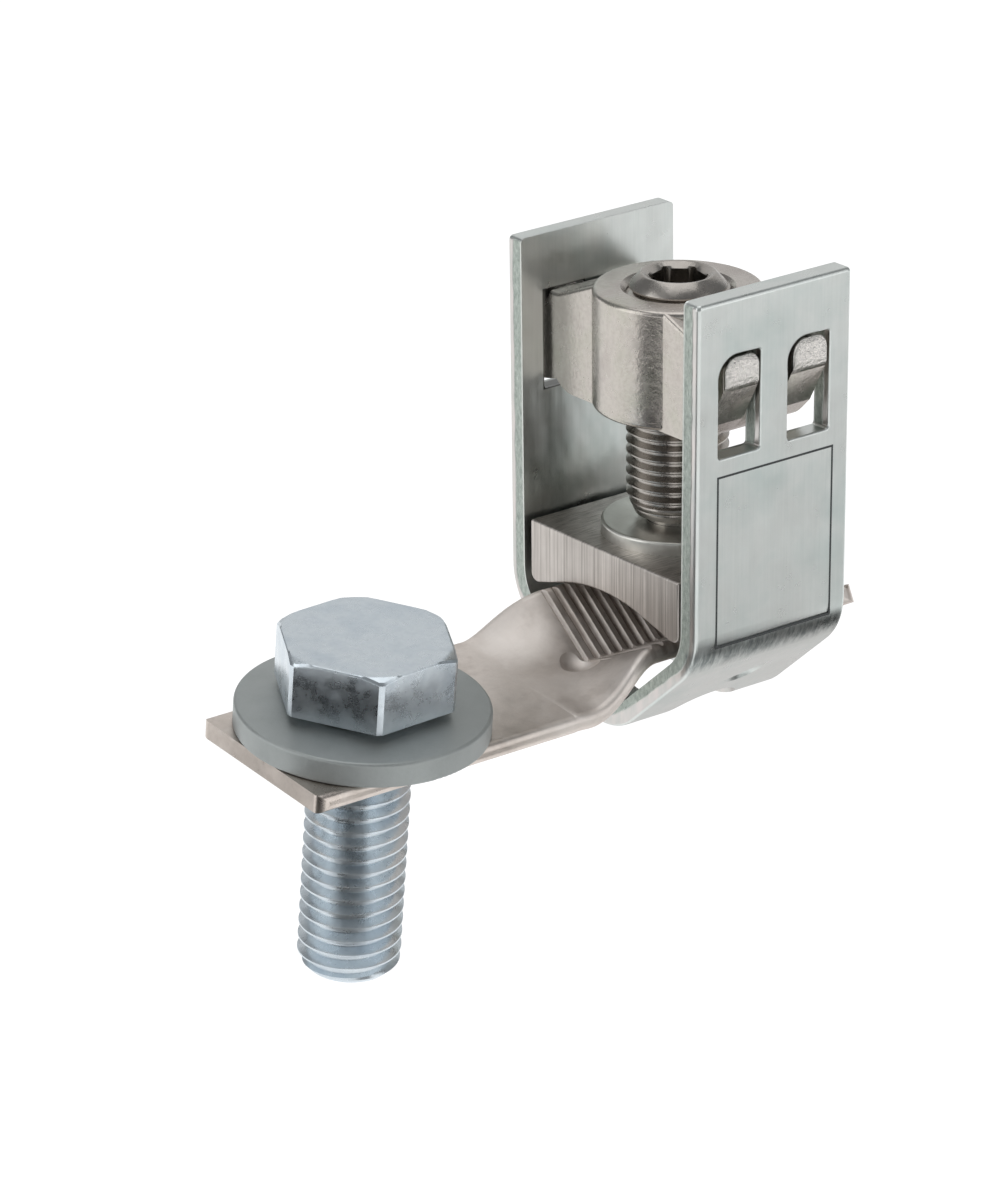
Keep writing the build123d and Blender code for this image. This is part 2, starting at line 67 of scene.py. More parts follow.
# ------------------------------------------------------------------ node helpers
class Mat:
    "a small helper around a material's node tree"

    def __init__(self, name):
        self.m = bpy.data.materials.new(name)
        self.m.use_nodes = True
        self.t = self.m.node_tree
        self.t.nodes.clear()
        self.out = self.n("ShaderNodeOutputMaterial")
        self.b = self.n("ShaderNodeBsdfPrincipled")
        self.link(self.b.outputs[0], self.out.inputs[0])
        self._pos = None

    def n(self, kind, **props):
        node = self.t.nodes.new(kind)
        for k, v in props.items():
            setattr(node, k, v)
        return node

    def link(self, a, b):
        self.t.links.new(a, b)

    def put(self, sock, v):
        if isinstance(v, bpy.types.NodeSocket):
            self.link(v, sock)
        else:
            sock.default_value = v

    def set(self, name, v):
        self.put(self.b.inputs[name], v)

    def pos(self):
        "position in the part's frame, in mm"
        if self._pos is None:
            tc = self.n("ShaderNodeTexCoord")
            vm = self.n("ShaderNodeVectorMath", operation="SCALE")
            self.link(tc.outputs["Object"], vm.inputs[0])
            vm.inputs["Scale"].default_value = 1000.0
            self._pos = vm.outputs[0]
        return self._pos

    def xyz(self, v):
        s = self.n("ShaderNodeSeparateXYZ")
        self.link(v, s.inputs[0])
        return s.outputs[0], s.outputs[1], s.outputs[2]

    def vec(self, x, y, z):
        c = self.n("ShaderNodeCombineXYZ")
        for i, v in enumerate((x, y, z)):
            self.put(c.inputs[i], v)
        return c.outputs[0]

    def math(self, op, a, b=0.0, c=0.0, clamp=False):
        m = self.n("ShaderNodeMath", operation=op, use_clamp=clamp)
        self.put(m.inputs[0], a)
        self.put(m.inputs[1], b)
        self.put(m.inputs[2], c)
        return m.outputs[0]

    def clamp_pos(self):
        "position in clamp coordinates, in mm"
        x, y, z = self.xyz(self.pos())
        y = self.math("SUBTRACT", y, TY)
        z = self.math("SUBTRACT", z, TZ)
        yk = self.math("SUBTRACT", self.math("MULTIPLY", y, C), self.math("MULTIPLY", z, S))
        zk = self.math("ADD", self.math("MULTIPLY", y, S), self.math("MULTIPLY", z, C))
        return self.math("SUBTRACT", x, CX), yk, zk

    def noise(self, vec, scale, detail=3.0, rough=0.55, dist=0.0, stretch=None):
        if stretch is not None:
            m = self.n("ShaderNodeMapping")
            m.inputs["Scale"].default_value = stretch
            self.link(vec, m.inputs["Vector"])
            vec = m.outputs[0]
        t = self.n("ShaderNodeTexNoise")
        self.link(vec, t.inputs["Vector"])
        t.inputs["Scale"].default_value = scale
        t.inputs["Detail"].default_value = detail
        t.inputs["Roughness"].default_value = rough
        t.inputs["Distortion"].default_value = dist
        return t.outputs["Fac"]

    def ramp(self, fac, stops, interp="LINEAR"):
        r = self.n("ShaderNodeValToRGB")
        r.color_ramp.interpolation = interp
        els = r.color_ramp.elements
        while len(els) > len(stops):
            els.remove(els[-1])
        while len(els) < len(stops):
            els.new(0.5)
        for e, (p, c) in zip(els, stops):
            e.position = p
            e.color = (*c, 1.0) if hasattr(c, "__len__") else (c, c, c, 1.0)
        self.link(fac, r.inputs[0])
        return r.outputs[0]

    def range(self, v, a0, a1, b0, b1):
        m = self.n("ShaderNodeMapRange")
        self.put(m.inputs["Value"], v)
        m.inputs["From Min"].default_value = a0
        m.inputs["From Max"].default_value = a1
        m.inputs["To Min"].default_value = b0
        m.inputs["To Max"].default_value = b1
        return m.outputs[0]

    def mix(self, fac, a, b, kind="MIX"):
        m = self.n("ShaderNodeMix", data_type="RGBA", blend_type=kind)
        self.put(m.inputs[0], fac)
        for sock, v in ((m.inputs[6], a), (m.inputs[7], b)):
            if isinstance(v, bpy.types.NodeSocket):
                self.link(v, sock)
            else:
                sock.default_value = (*v, 1.0) if len(v) == 3 else v
        return m.outputs[2]

    def bump(self, height, dist, strength=1.0, normal=None):
        b = self.n("ShaderNodeBump")
        b.inputs["Strength"].default_value = strength
        b.inputs["Distance"].default_value = dist
        self.link(height, b.inputs["Height"])
        if normal is not None:
            self.link(normal, b.inputs["Normal"])
        return b.outputs[0]

    def normal_xyz(self):
        g = self.n("ShaderNodeNewGeometry")
        return self.xyz(g.outputs["Normal"])


def metal(name, colour, rough, tint=None, tint_amount=0.5, cloud=9.0, speck=0.0, grain=None,
          wave=0.0, wave_scale=0.16, rough_var=0.08):
    """plated metal: colour clouded with tint, roughness that varies, an optional
    drawn grain (stretch of the noise), soft waviness and fine specks"""
    m = Mat(name)
    p = m.pos()
    m.set("Metallic", 1.0)
    clouds = m.noise(p, 1.0 / cloud, 4.0, 0.6)
    col = m.mix(m.range(clouds, 0.35, 0.65, 0.0, tint_amount), colour, tint or colour)
    fine = m.noise(p, 1.6, 3.0, 0.6)
    col = m.mix(m.range(fine, 0.35, 0.75, 0.0, 0.10), col, [c * 0.72 for c in colour])
    m.set("Base Color", col)
    r = m.range(m.noise(p, 0.35, 4.0, 0.65), 0.3, 0.7, rough - rough_var, rough + rough_var)
    m.set("Roughness", r)
    normal = None
    if wave:
        normal = m.bump(m.noise(p, wave_scale, 1.0, 0.4), wave * MM)
    if grain is not None:
        normal = m.bump(m.noise(p, 1.0, 3.0, 0.6, stretch=grain), 0.010 * MM, 1.0, normal)
    if speck:
        normal = m.bump(m.noise(p, 2.6, 2.0, 0.7), speck * MM, 1.0, normal)
    if normal is not None:
        m.set("Normal", normal)
    return m


# ------------------------------------------------------------------ materials
# bracket: pale zinc on drawn strip; the cut sides show a smooth burnished band
# on the outer third, a rough fracture zone, and a painted highlight line along the inner edge
HW, STRIP_T, VEE_OUT, VB = 14.05, 2.5, -57.64, radians(40.8)
OW = HW + STRIP_T
SPLAY, LEG_LOW = 0.35, -43.36          # the legs open towards their tops, from this height up


def bracket_material():
    m = Mat("zinc_strip")
    p = m.pos()
    m.set("Metallic", 1.0)
    xk, yk, zk = m.clamp_pos()
    nx, ny, nz = m.normal_xyz()
    side = m.range(m.math("ABSOLUTE", nx), 0.80, 0.93, 0.0, 1.0)
    # depth of a point of the cut side below the outer surface
    ay = m.math("ABSOLUTE", yk)
    leg = m.math("SUBTRACT", m.math("ADD", m.range(zk, LEG_LOW, 0.0, 0.0, SPLAY), OW), ay)
    yr = m.math("SQRT", m.math("ADD", m.math("MULTIPLY", yk, yk), 9.5))
    slope = m.math("MULTIPLY", m.math("SUBTRACT", m.math("SUBTRACT", zk, VEE_OUT), m.math("MULTIPLY", yr, tan(VB))), cos(VB))
    depth = m.math("SMOOTH_MIN", leg, slope, 3.0)
    depth = m.math("ADD", depth, 0.0)
    # outer surfaces: cloudy zinc with a fine vertical grain
    vec_k = m.vec(xk, m.math("MULTIPLY", yk, 1.0), zk)
    clouds = m.noise(p, 0.10, 4.0, 0.6)
    base = m.ramp(clouds, [(0.30, (0.60, 0.66, 0.64)), (0.52, (0.70, 0.73, 0.71)), (0.72, (0.66, 0.68, 0.66))])
    streak = m.noise(vec_k, 1.0, 3.0, 0.65, stretch=(2.8, 2.8, 0.10))
    base = m.mix(m.range(streak, 0.40, 0.75, 0.0, 0.22), base, (0.50, 0.55, 0.53))
    # cut side
    frac_noise = m.noise(vec_k, 2.4, 4.0, 0.75, stretch=(1.0, 1.0, 0.45))
    frac = m.ramp(frac_noise, [(0.30, (0.30, 0.34, 0.31)), (0.50, (0.46, 0.51, 0.47)), (0.70, (0.62, 0.67, 0.62))])
    burn = m.mix(m.range(m.noise(vec_k, 0.8, 2.0, 0.5, stretch=(1.0, 1.0, 0.25)), 0.35, 0.7, 0.0, 1.0), (0.66, 0.62, 0.60), (0.54, 0.55, 0.53))
    wob = m.range(m.noise(vec_k, 0.35, 2.0, 0.5), 0.0, 1.0, -0.25, 0.25)
    dd = m.math("ADD", depth, wob)
    zone = m.range(dd, 0.85, 1.05, 0.0, 1.0)
    cut = m.mix(zone, burn, frac)
    # painted highlight: a bright line along the inner edge of the cut side, where its rounding catches the light
    inner_edge_painted_highlight = m.math("MULTIPLY", m.range(depth, 2.22, 2.34, 0.0, 1.0), m.range(depth, 2.46, 2.52, 1.0, 0.0))
    cut = m.mix(m.math("MULTIPLY", inner_edge_painted_highlight, 0.8), cut, (0.86, 0.88, 0.84))
    col = m.mix(side, base, cut)
    # painted shade over the bend on the marked side, broken up by streaky noise
    bend_shade_streaks = m.noise(vec_k, 1.0, 3.0, 0.7, stretch=(1.6, 1.0, 0.22))
    band = m.math("MULTIPLY", m.range(zk, -44.6, -43.2, 0.0, 1.0), m.range(zk, -41.9, -40.9, 1.0, 0.0))
    band = m.math("MULTIPLY", band, m.range(bend_shade_streaks, 0.38, 0.62, 0.30, 1.0))
    band = m.math("MULTIPLY", band, m.range(yk, -15.0, -14.5, 1.0, 0.0))
    col = m.mix(m.math("MULTIPLY", band, 0.85), col, (0.16, 0.185, 0.185))
    # painted shade on the walls of the far leg's windows, where the lug's shadow falls in the gaps
    ax = m.math("ABSOLUTE", xk)
    far_window_painted_shade = m.math("MULTIPLY", m.range(ax, 1.85, 2.0, 0.0, 1.0), m.range(ax, 8.15, 8.3, 1.0, 0.0))
    far_window_painted_shade = m.math("MULTIPLY", far_window_painted_shade, m.math("MULTIPLY", m.range(zk, -18.85, -18.7, 0.0, 1.0), m.range(zk, -6.7, -6.55, 1.0, 0.0)))
    far_window_painted_shade = m.math("MULTIPLY", far_window_painted_shade, m.math("MULTIPLY", m.range(yk, 13.9, 14.0, 0.0, 1.0), m.range(yk, 15.9, 16.5, 1.0, 0.1)))
    col = m.mix(m.math("MULTIPLY", far_window_painted_shade, 0.88), col, (0.06, 0.06, 0.055))
    m.set("Base Color", col)
    r_surf = m.range(m.noise(p, 0.22, 4.0, 0.65), 0.3, 0.7, 0.26, 0.38)
    r_cut = m.range(zone, 0.0, 1.0, 0.30, 0.52)
    rmix = m.n("ShaderNodeMix", data_type="FLOAT")
    m.link(side, rmix.inputs[0])
    m.link(r_surf, rmix.inputs[2])
    m.link(r_cut, rmix.inputs[3])
    m.set("Roughness", rmix.outputs[0])
    inside = m.range(ay, 14.2, 14.7, 1.0, 0.0)
    inside = m.math("MULTIPLY", inside, m.range(zk, -46.0, -42.0, 0.0, 1.0))
    wave = m.bump(m.noise(p, 0.16, 1.0, 0.4), 0.05 * MM)
    wave = m.bump(m.math("MULTIPLY", m.noise(vec_k, 1.0, 2.0, 0.5, stretch=(0.22, 0.22, 0.10)), inside), 0.30 * MM, 1.0, wave)
    grain = m.bump(streak, 0.006 * MM, 1.0, wave)
    height = m.math("MULTIPLY", m.math("MULTIPLY", side, zone), frac_noise)
    m.set("Normal", m.bump(height, 0.22 * MM, 1.0, grain))
    return m


def bridge_material():
    "cast-looking plated piece; the ends of its tips are cropped and sparkle"
    m = Mat("plated_bridge")
    p = m.pos()
    m.set("Metallic", 1.0)
    xk, yk, zk = m.clamp_pos()
    ay = m.math("ABSOLUTE", yk)
    tip = m.range(ay, 16.75, 17.05, 0.0, 1.0)
    clouds = m.noise(p, 0.16, 4.0, 0.6)
    col = m.ramp(clouds, [(0.32, (0.47, 0.43, 0.40)), (0.50, (0.54, 0.505, 0.465)), (0.68, (0.50, 0.485, 0.425))])
    fine = m.noise(p, 1.7, 4.0, 0.65)
    col = m.mix(m.range(fine, 0.42, 0.78, 0.0, 0.35), col, (0.34, 0.31, 0.285))
    col = m.mix(m.math("MULTIPLY", tip, 0.9), col, (0.93, 0.90, 0.86))
    m.set("Base Color", col)
    m.set("Roughness", m.range(m.noise(p, 0.4, 4.0, 0.65), 0.3, 0.7, 0.19, 0.31))
    n = m.bump(m.noise(p, 0.16, 1.0, 0.4), 0.05 * MM)
    n = m.bump(fine, 0.035 * MM, 1.0, n)
    crop = m.math("MULTIPLY", m.noise(p, 0.9, 4.0, 0.7), tip)
    m.set("Normal", m.bump(crop, 0.75 * MM, 1.0, n))
    return m


def tongue_material():
    """tinned copper, warm and mottled, lighter and rougher from x = 12 mm on, fully so from 24 mm over the pressed
    trough
    """
    m = Mat("tinned_copper")
    p = m.pos()
    m.set("Metallic", 1.0)
    clouds = m.noise(p, 0.13, 4.0, 0.6)
    col = m.ramp(clouds, [(0.30, (0.50, 0.435, 0.385)), (0.46, (0.68, 0.615, 0.565)), (0.58, (0.60, 0.54, 0.49)), (0.74, (0.74, 0.70, 0.66))])
    fine = m.noise(p, 1.3, 4.0, 0.7)
    col = m.mix(m.range(fine, 0.45, 0.80, 0.0, 0.30), col, (0.36, 0.32, 0.29))
    px, py, pz = m.xyz(p)
    trough = m.math("MULTIPLY", m.range(px, 12.0, 24.0, 0.0, 1.0), 1.0, clamp=True)
    col = m.mix(m.math("MULTIPLY", trough, m.range(clouds, 0.38, 0.60, 0.40, 0.85)), col, (0.92, 0.865, 0.82))
    # the pressed grooves keep a brown film, the crests are rubbed bright
    wave = m.math("COSINE", m.math("MULTIPLY", m.math("SUBTRACT", px, 33.15), 6.2832 / 1.65))
    groove = m.range(wave, 0.25, -0.85, 0.0, 1.0)
    groove = m.math("MULTIPLY", groove, m.range(px, 32.9, 33.6, 0.0, 1.0))
    groove = m.math("MULTIPLY", groove, m.range(m.normal_xyz()[2], 0.15, 0.45, 0.0, 1.0))
    groove = m.math("MULTIPLY", groove, m.range(m.noise(p, 0.35, 3.0, 0.6), 0.35, 0.6, 0.35, 0.75))
    col = m.mix(groove, col, (0.36, 0.30, 0.255))
    m.set("Base Color", col)
    satin = m.range(m.noise(p, 0.3, 4.0, 0.65), 0.3, 0.7, 0.24, 0.38)
    m.set("Roughness", m.math("ADD", satin, m.math("MULTIPLY", trough, 0.22)))
    n = m.bump(m.noise(p, 0.13, 1.0, 0.4), 0.12 * MM)
    n = m.bump(m.noise(p, 0.55, 2.0, 0.5), 0.03 * MM, 1.0, n)
    m.set("Normal", m.bump(fine, 0.016 * MM, 1.0, n))
    return m


def block_material():
    "milled faces: fine lines down the front and back, plainer on top"
    m = Mat("milled_block")
    p = m.pos()
    m.set("Metallic", 1.0)
    xk, yk, zk = m.clamp_pos()
    v = m.vec(xk, yk, zk)
    lines = m.noise(v, 1.0, 3.0, 0.6, stretch=(0.5, 4.2, 0.05))
    base = m.ramp(lines, [(0.30, (0.32, 0.295, 0.275)), (0.50, (0.52, 0.485, 0.455)), (0.70, (0.66, 0.62, 0.585))])
    clouds = m.noise(p, 0.2, 3.0, 0.6)
    col = m.mix(m.range(clouds, 0.4, 0.7, 0.0, 0.35), base, (0.44, 0.41, 0.38))
    m.set("Base Color", col)
    m.set("Roughness", m.range(clouds, 0.3, 0.7, 0.32, 0.44))
    n = m.bump(lines, 0.06 * MM)
    m.set("Normal", m.bump(m.noise(p, 1.8, 2.0, 0.6), 0.012 * MM, 1.0, n))
    return m


def bolt_material():
    "bright zinc with a cold tint; turned rings on the head's top"
    m = Mat("blue_zinc")
    p = m.pos()
    m.set("Metallic", 1.0)
    clouds = m.noise(p, 0.16, 4.0, 0.6)
    col = m.ramp(clouds, [(0.3, (0.55, 0.62, 0.68)), (0.55, (0.66, 0.72, 0.76)), (0.75, (0.60, 0.66, 0.72))])
    fine = m.noise(p, 1.2, 4.0, 0.7)
    col = m.mix(m.range(fine, 0.45, 0.8, 0.0, 0.25), col, (0.40, 0.45, 0.50))
    m.set("Base Color", col)
    m.set("Roughness", m.range(m.noise(p, 0.5, 3.0, 0.6), 0.3, 0.7, 0.22, 0.36))
    n = m.bump(m.noise(p, 0.35, 2.0, 0.5), 0.04 * MM)
    m.set("Normal", m.bump(fine, 0.012 * MM, 1.0, n))
    return m


def washer_material():
    m = Mat("coated_washer")
    p = m.pos()
    m.set("Metallic", 0.72)
    fine = m.noise(p, 2.2, 4.0, 0.75)
    clouds = m.noise(p, 0.14, 3.0, 0.6)
    col = m.ramp(clouds, [(0.3, (0.34, 0.365, 0.36)), (0.7, (0.41, 0.435, 0.43))])
    col = m.mix(m.range(fine, 0.35, 0.75, 0.0, 0.40), col, (0.50, 0.53, 0.525))
    m.set("Base Color", col)
    m.set("Roughness", m.range(fine, 0.3, 0.7, 0.42, 0.58))
    m.set("Normal", m.bump(fine, 0.02 * MM))
    return m


TONGUE = tongue_material()
BRACKET = bracket_material()
BRIDGE = bridge_material()
SCREW = metal("plated_screw", (0.44, 0.415, 0.385), 0.25, (0.33, 0.305, 0.28), 0.6, cloud=5.0, speck=0.014)
DISC = metal("satin_disc", (0.70, 0.695, 0.65), 0.36, (0.60, 0.59, 0.55), 0.5, cloud=5.0, speck=0.012)
BLOCK = block_material()
BOLT = bolt_material()
WASHER = washer_material()
INK = Mat("ink_line")
INK.set("Base Color", (0.035, 0.040, 0.042, 1.0))
INK.set("Roughness", 0.45)
INK.set("Metallic", 0.0)


# ------------------------------------------------------------------ meshes
def add_object(name, verts, faces, mat, smooth_deg=30.0):
    me = bpy.data.meshes.new(name)
    me.from_pydata([tuple(v) for v in verts], [], faces)
    me.validate()
    bm = bmesh.new()
    bm.from_mesh(me)
    bmesh.ops.remove_doubles(bm, verts=bm.verts, dist=2e-7)
    bmesh.ops.dissolve_degenerate(bm, edges=bm.edges, dist=1e-7)
    bmesh.ops.recalc_face_normals(bm, faces=bm.faces)
    for f in bm.faces:
        f.smooth = True
    for e in bm.edges:
        e.smooth = len(e.link_faces) == 2 and e.calc_face_angle(3.2) < radians(smooth_deg)
    bm.to_mesh(me)
    bm.free()
    me.materials.append(mat.m)
    ob = bpy.data.objects.new(name, me)
    bpy.context.scene.collection.objects.link(ob)
    return ob


def thread_rings(pitch, r_crest, depth, z_top, z_bot, end_radius, seg=96, crest=0.125, root=0.22, right_hand=True):
    """columns of points of a screw thread about the z axis, from z_bot up to
    z_top: rows of a grid (column j at angle j), each column shifted along the
    helix. end_radius(z) limits the radius, for run-outs and end chamfers"""
    flank = (1 - crest - root) / 2
    prof = [(0.0, 0.0), (root * 0.5, 0.02), (root, 0.0), (root + flank * 0.5, 0.5), (root + flank, 1.0),
            (root + flank + crest * 0.5, 1.04), (root + flank + crest, 1.0), (root + flank * 1.5 + crest, 0.5)]
    k0 = int(mfloor(z_bot / pitch)) - 2
    k1 = int(mfloor(z_top / pitch)) + 2
    cols = []
    for j in range(seg):
        th = 2 * pi * j / seg
        col = []
        for k in range(k0, k1 + 1):
            for (u, h) in prof:
                z = (k + u + (th / (2 * pi) if right_hand else -th / (2 * pi))) * pitch
                zc = min(z_top, max(z_bot, z))
                if zc != z:
                    # value of the profile where the clipped plane cuts this column
                    w = (zc / pitch - th / (2 * pi)) % 1.0
                    h2 = None
                    pts = prof + [(1.0, 0.0)]
                    for (a, ha), (b, hb) in zip(pts, pts[1:]):
                        if a <= w <= b:
                            h2 = ha + (hb - ha) * ((w - a) / (b - a) if b > a else 0)
                            break
                    hh = h2 if h2 is not None else 0.0
                else:
                    hh = h
                r = r_crest - depth + depth * min(hh, 1.0)
                if hh < 0.03:
                    r += depth * 0.03 * (1 - hh / 0.03) * 0.0
                r = min(r, end_radius(zc))
                col.append((r, th, zc))
        cols.append(col)
    return cols, len(prof)


def thread_faces(cols, per, first):
    "faces of the grid, closed round the axis along the helix"
    seg, n = len(cols), len(cols[0])
    faces = []
    idx = lambda j, i: first + j * n + i
    for j in range(seg):
        for i in range(n - 1):
            if j < seg - 1:
                a, b, c, d = idx(j, i), idx(j + 1, i), idx(j + 1, i + 1), idx(j, i + 1)
            else:
                if i + 1 + per >= n:
                    continue
                a, b, c, d = idx(j, i), idx(0, i + per), idx(0, i + 1 + per), idx(j, i + 1)
            faces.append((a, b, c, d))
    return faces


def ring(verts, r, z, seg, phase=0.0):
    first = len(verts)
    for j in range(seg):
        t = 2 * pi * j / seg + phase
        verts.append((r * cos(t) * MM, r * sin(t) * MM, z * MM))
    return [first + j for j in range(seg)]


def band(faces, a, b):
    n = len(a)
    for j in range(n):
        faces.append((a[j], a[(j + 1) % n], b[(j + 1) % n], b[j]))


def screw_piece(name, pitch, r_crest, depth, z_top, z_bot, end_radius, upper, lower, mat, place, seg=96):
    """a threaded shank with turned ends: upper and lower are lists of (r, z)
    rings going away from the thread; the last one of each is closed"""
    cols, per = thread_rings(pitch, r_crest, depth, z_top, z_bot, end_radius, seg)
    verts = []
    for col in cols:
        for (r, th, z) in col:
            verts.append((r * cos(th) * MM, r * sin(th) * MM, z * MM))
    n = len(cols[0])
    faces = thread_faces(cols, per, 0)
    low = [j * n for j in range(seg)]
    high = [j * n + n - 1 for j in range(seg)]
    prev = low
    for (r, z) in lower:
        cur = ring(verts, r, z, seg)
        band(faces, prev, cur)
        prev = cur
    faces.append(tuple(prev))
    prev = high
    for item in upper:
        if callable(item):
            prev = item(verts, faces, prev)
            continue
        r, z = item
        cur = ring(verts, r, z, seg)
        band(faces, prev, cur)
        prev = cur
    if prev:
        faces.append(tuple(prev))
    verts = [place @ Vector(v) for v in verts]
    return add_object(name, verts, faces, mat, 28.0)


# ------------------------------------------------------------------ hexagon bolt
SEAT = 2.2 + 3.75 + 0.02
HEAD_AF, HEAD_K, HEAD_TURN = 18.8, 7.5, radians(2.0)
FACE_R, FACE_H = 8.3, 0.6
BOLT_R, BOLT_LEN = 5.92, 34.0
Z_END = SEAT - BOLT_LEN


def hex_head(verts, faces, seg=96):
    "hexagon head, forged: its corners fall away a little, its top edge is softened, and the face under it is turned"
    af = HEAD_AF / 2
    e = HEAD_AF / sqrt(3) - 0.18
    rf = 9.75
    z0, z1 = SEAT + FACE_H, SEAT + HEAD_K

    def hex_r(t):
        u = ((t - HEAD_TURN) % (pi / 3)) - pi / 6
        return min(af / cos(u), e)

    def chamfer_z(r):
        return z1 - max(0.0, r - rf) * tan(radians(28))

    def row(f):
        first = len(verts)
        for j in range(seg):
            t = 2 * pi * j / seg + HEAD_TURN
            r, z = f(t)
            verts.append((r * cos(t) * MM, r * sin(t) * MM, z * MM))
        return [first + j for j in range(seg)]

    rows = [row(lambda t: (5.2, SEAT)), row(lambda t: (FACE_R - 0.08, SEAT)), row(lambda t: (FACE_R, SEAT + 0.08)),
            row(lambda t: (FACE_R, z0)), row(lambda t: (hex_r(t) - 0.15, z0)), row(lambda t: (hex_r(t), z0 + 0.12)),
            row(lambda t: (hex_r(t), z0 + HEAD_K * 0.5)),
            row(lambda t: (hex_r(t), chamfer_z(hex_r(t)) - 0.30)),
            row(lambda t: (hex_r(t) - 0.04, chamfer_z(hex_r(t)) - 0.16)),
            row(lambda t: (hex_r(t) - 0.13, chamfer_z(hex_r(t)) - 0.06)),
            row(lambda t: (hex_r(t) - 0.28, chamfer_z(hex_r(t) - 0.28) - 0.01)),
            row(lambda t: (min(rf + 0.10, hex_r(t) - 0.32), chamfer_z(min(rf + 0.10, hex_r(t) - 0.32)) - 0.005)),
            row(lambda t: (min(rf - 0.15, hex_r(t) - 0.45), z1 - 0.002)), row(lambda t: (min(rf - 0.45, hex_r(t) - 0.70), z1))]
    for a, b in zip(rows, rows[1:]):
        band(faces, a, b)
    # top: flat, with a very shallow dish
    prev = rows[-1]
    for r, z in ((6.2, z1), (5.9, z1 - 0.02), (3.0, z1 - 0.05)):
        cur = row(lambda t: (r, z))
        band(faces, prev, cur)
        prev = cur
    faces.append(tuple(prev))
    faces.append(tuple(rows[0]))


def bolt_end(z):
    "chamfer at the bolt's end and run-out under the tongue"
    lim = 99.0
    if z < Z_END + 1.1:
        lim = BOLT_R - (Z_END + 1.1 - z) * 0.95
    if z > -0.82:
        lim = min(lim, 5.45 + max(0.0, (-0.35 - z)))
    return lim


def bolt_upper(verts, faces, prev):
    cur = ring(verts, 5.45, SEAT - 0.2, 96)
    band(faces, prev, cur)
    nxt = ring(verts, 5.2, SEAT, 96)
    band(faces, cur, nxt)
    return nxt


bolt = screw_piece("hex_bolt_thread", 1.75, BOLT_R, 1.02, -0.35, Z_END, bolt_end,
                   [bolt_upper], [(3.9, Z_END), (3.6, Z_END + 0.12), (1.2, Z_END + 0.16)], BOLT, Matrix.Identity(4))
hv, hf = [], []
hex_head(hv, hf, 192)
head = add_object("hex_bolt_head", [Vector(v) for v in hv], hf, BOLT, 20.0)
for ob in (bolt, head):
    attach(ob, "bolt")
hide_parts("hex_bolt")

# ------------------------------------------------------------------ clamp screw
SCREW_R, SCREW_TOP, SCREW_END = 5.92, -2.55, -31.2
PITCH = 1.25
SOCKET_TURN = radians(18.0)


def screw_limit(z):
    lim = 99.0
    if z < SCREW_END + 2.2:
        lim = 4.9 + (z - SCREW_END) * (5.92 - 4.9) / 2.2
    if z > SCREW_TOP - 1.75:
        lim = min(lim, 5.62)
    return lim


def socket(verts, faces, prev):
    "collar with a cone to its top, and the hexagon socket"
    seg = 96
    af = 3.0

    def row(f):
        first = len(verts)
        for j in range(seg):
            t = 2 * pi * j / seg
            r, z = f(t)
            verts.append((r * cos(t) * MM, r * sin(t) * MM, z * MM))
        return [first + j for j in range(seg)]

    def hexr(t, k=1.0):
        u = ((t - SOCKET_TURN) % (pi / 3)) - pi / 6
        return af * k / cos(u)

    z = SCREW_TOP
    rows = [row(lambda t: (5.62, z - 1.45)), row(lambda t: (5.52, z - 1.28)), row(lambda t: (4.40, z - 0.09)), row(lambda t: (4.25, z)),
            row(lambda t: (4.05, z)), row(lambda t: (3.95, z - 0.04)),
            row(lambda t: (max(hexr(t), 3.34), z - 0.36 if hexr(t) < 3.34 else z - 0.36)),
            row(lambda t: (hexr(t), z - 0.62)), row(lambda t: (hexr(t), z - 5.9)), row(lambda t: (hexr(t, 0.93), z - 6.05)),
            row(lambda t: (1.2, z - 6.5))]
    for a in rows:
        band(faces, prev, a)
        prev = a
    return prev


screw = screw_piece("clamp_screw_thread", PITCH, SCREW_R, 0.74, SCREW_TOP - 1.75, SCREW_END, screw_limit,
                    [(5.62, SCREW_TOP - 1.62), socket],
                    [(4.7, SCREW_END - 0.0), (3.6, SCREW_END), (3.6, -36.3), (4.8, -36.3), (4.8, -37.5), (4.0, -38.1)],
                    SCREW, CLAMP_MATRIX)
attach(screw, "screw")
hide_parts("clamp_screw")

# ------------------------------------------------------------------ printed field on the marked leg
FX0, FX1, FZ0, FZ1, LINE = -8.25, 8.9, -41.4, -20.7, 0.26
fv, ff = [], []
for off in (0.0, LINE):
    for x, z in ((FX0 + off, FZ0 + off), (FX1 - off, FZ0 + off), (FX1 - off, FZ1 - off), (FX0 + off, FZ1 - off)):
        for lift in (0.012, -0.05):
            fv.append(from_clamp(x, -OW - SPLAY * (1 - z / LEG_LOW) - lift, z))
for i in range(4):
    j = (i + 1) % 4
    o0, o1, n0, n1 = 2 * i, 2 * j, 8 + 2 * i, 8 + 2 * j
    ff += [(o0, o1, n1, n0), (o0 + 1, n0 + 1, n1 + 1, o1 + 1), (o0, o0 + 1, o1 + 1, o1), (n0, n1, n1 + 1, n0 + 1)]
field = add_object("field_border", fv, ff, INK, 30.0)
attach(field, "clamp")

# ------------------------------------------------------------------ CAD nodes keep their shape and get their finish
for node, mat in (("contact_tongue", TONGUE), ("clamp_bracket", BRACKET), ("screw_bridge", BRIDGE), ("thrust_disc", DISC),
                  ("pressure_block", BLOCK), ("spring_washer", WASHER)):
    o = N[node]
    for s in o.material_slots:
        s.material = mat.m
    if not o.material_slots:
        o.data.materials.append(mat.m)

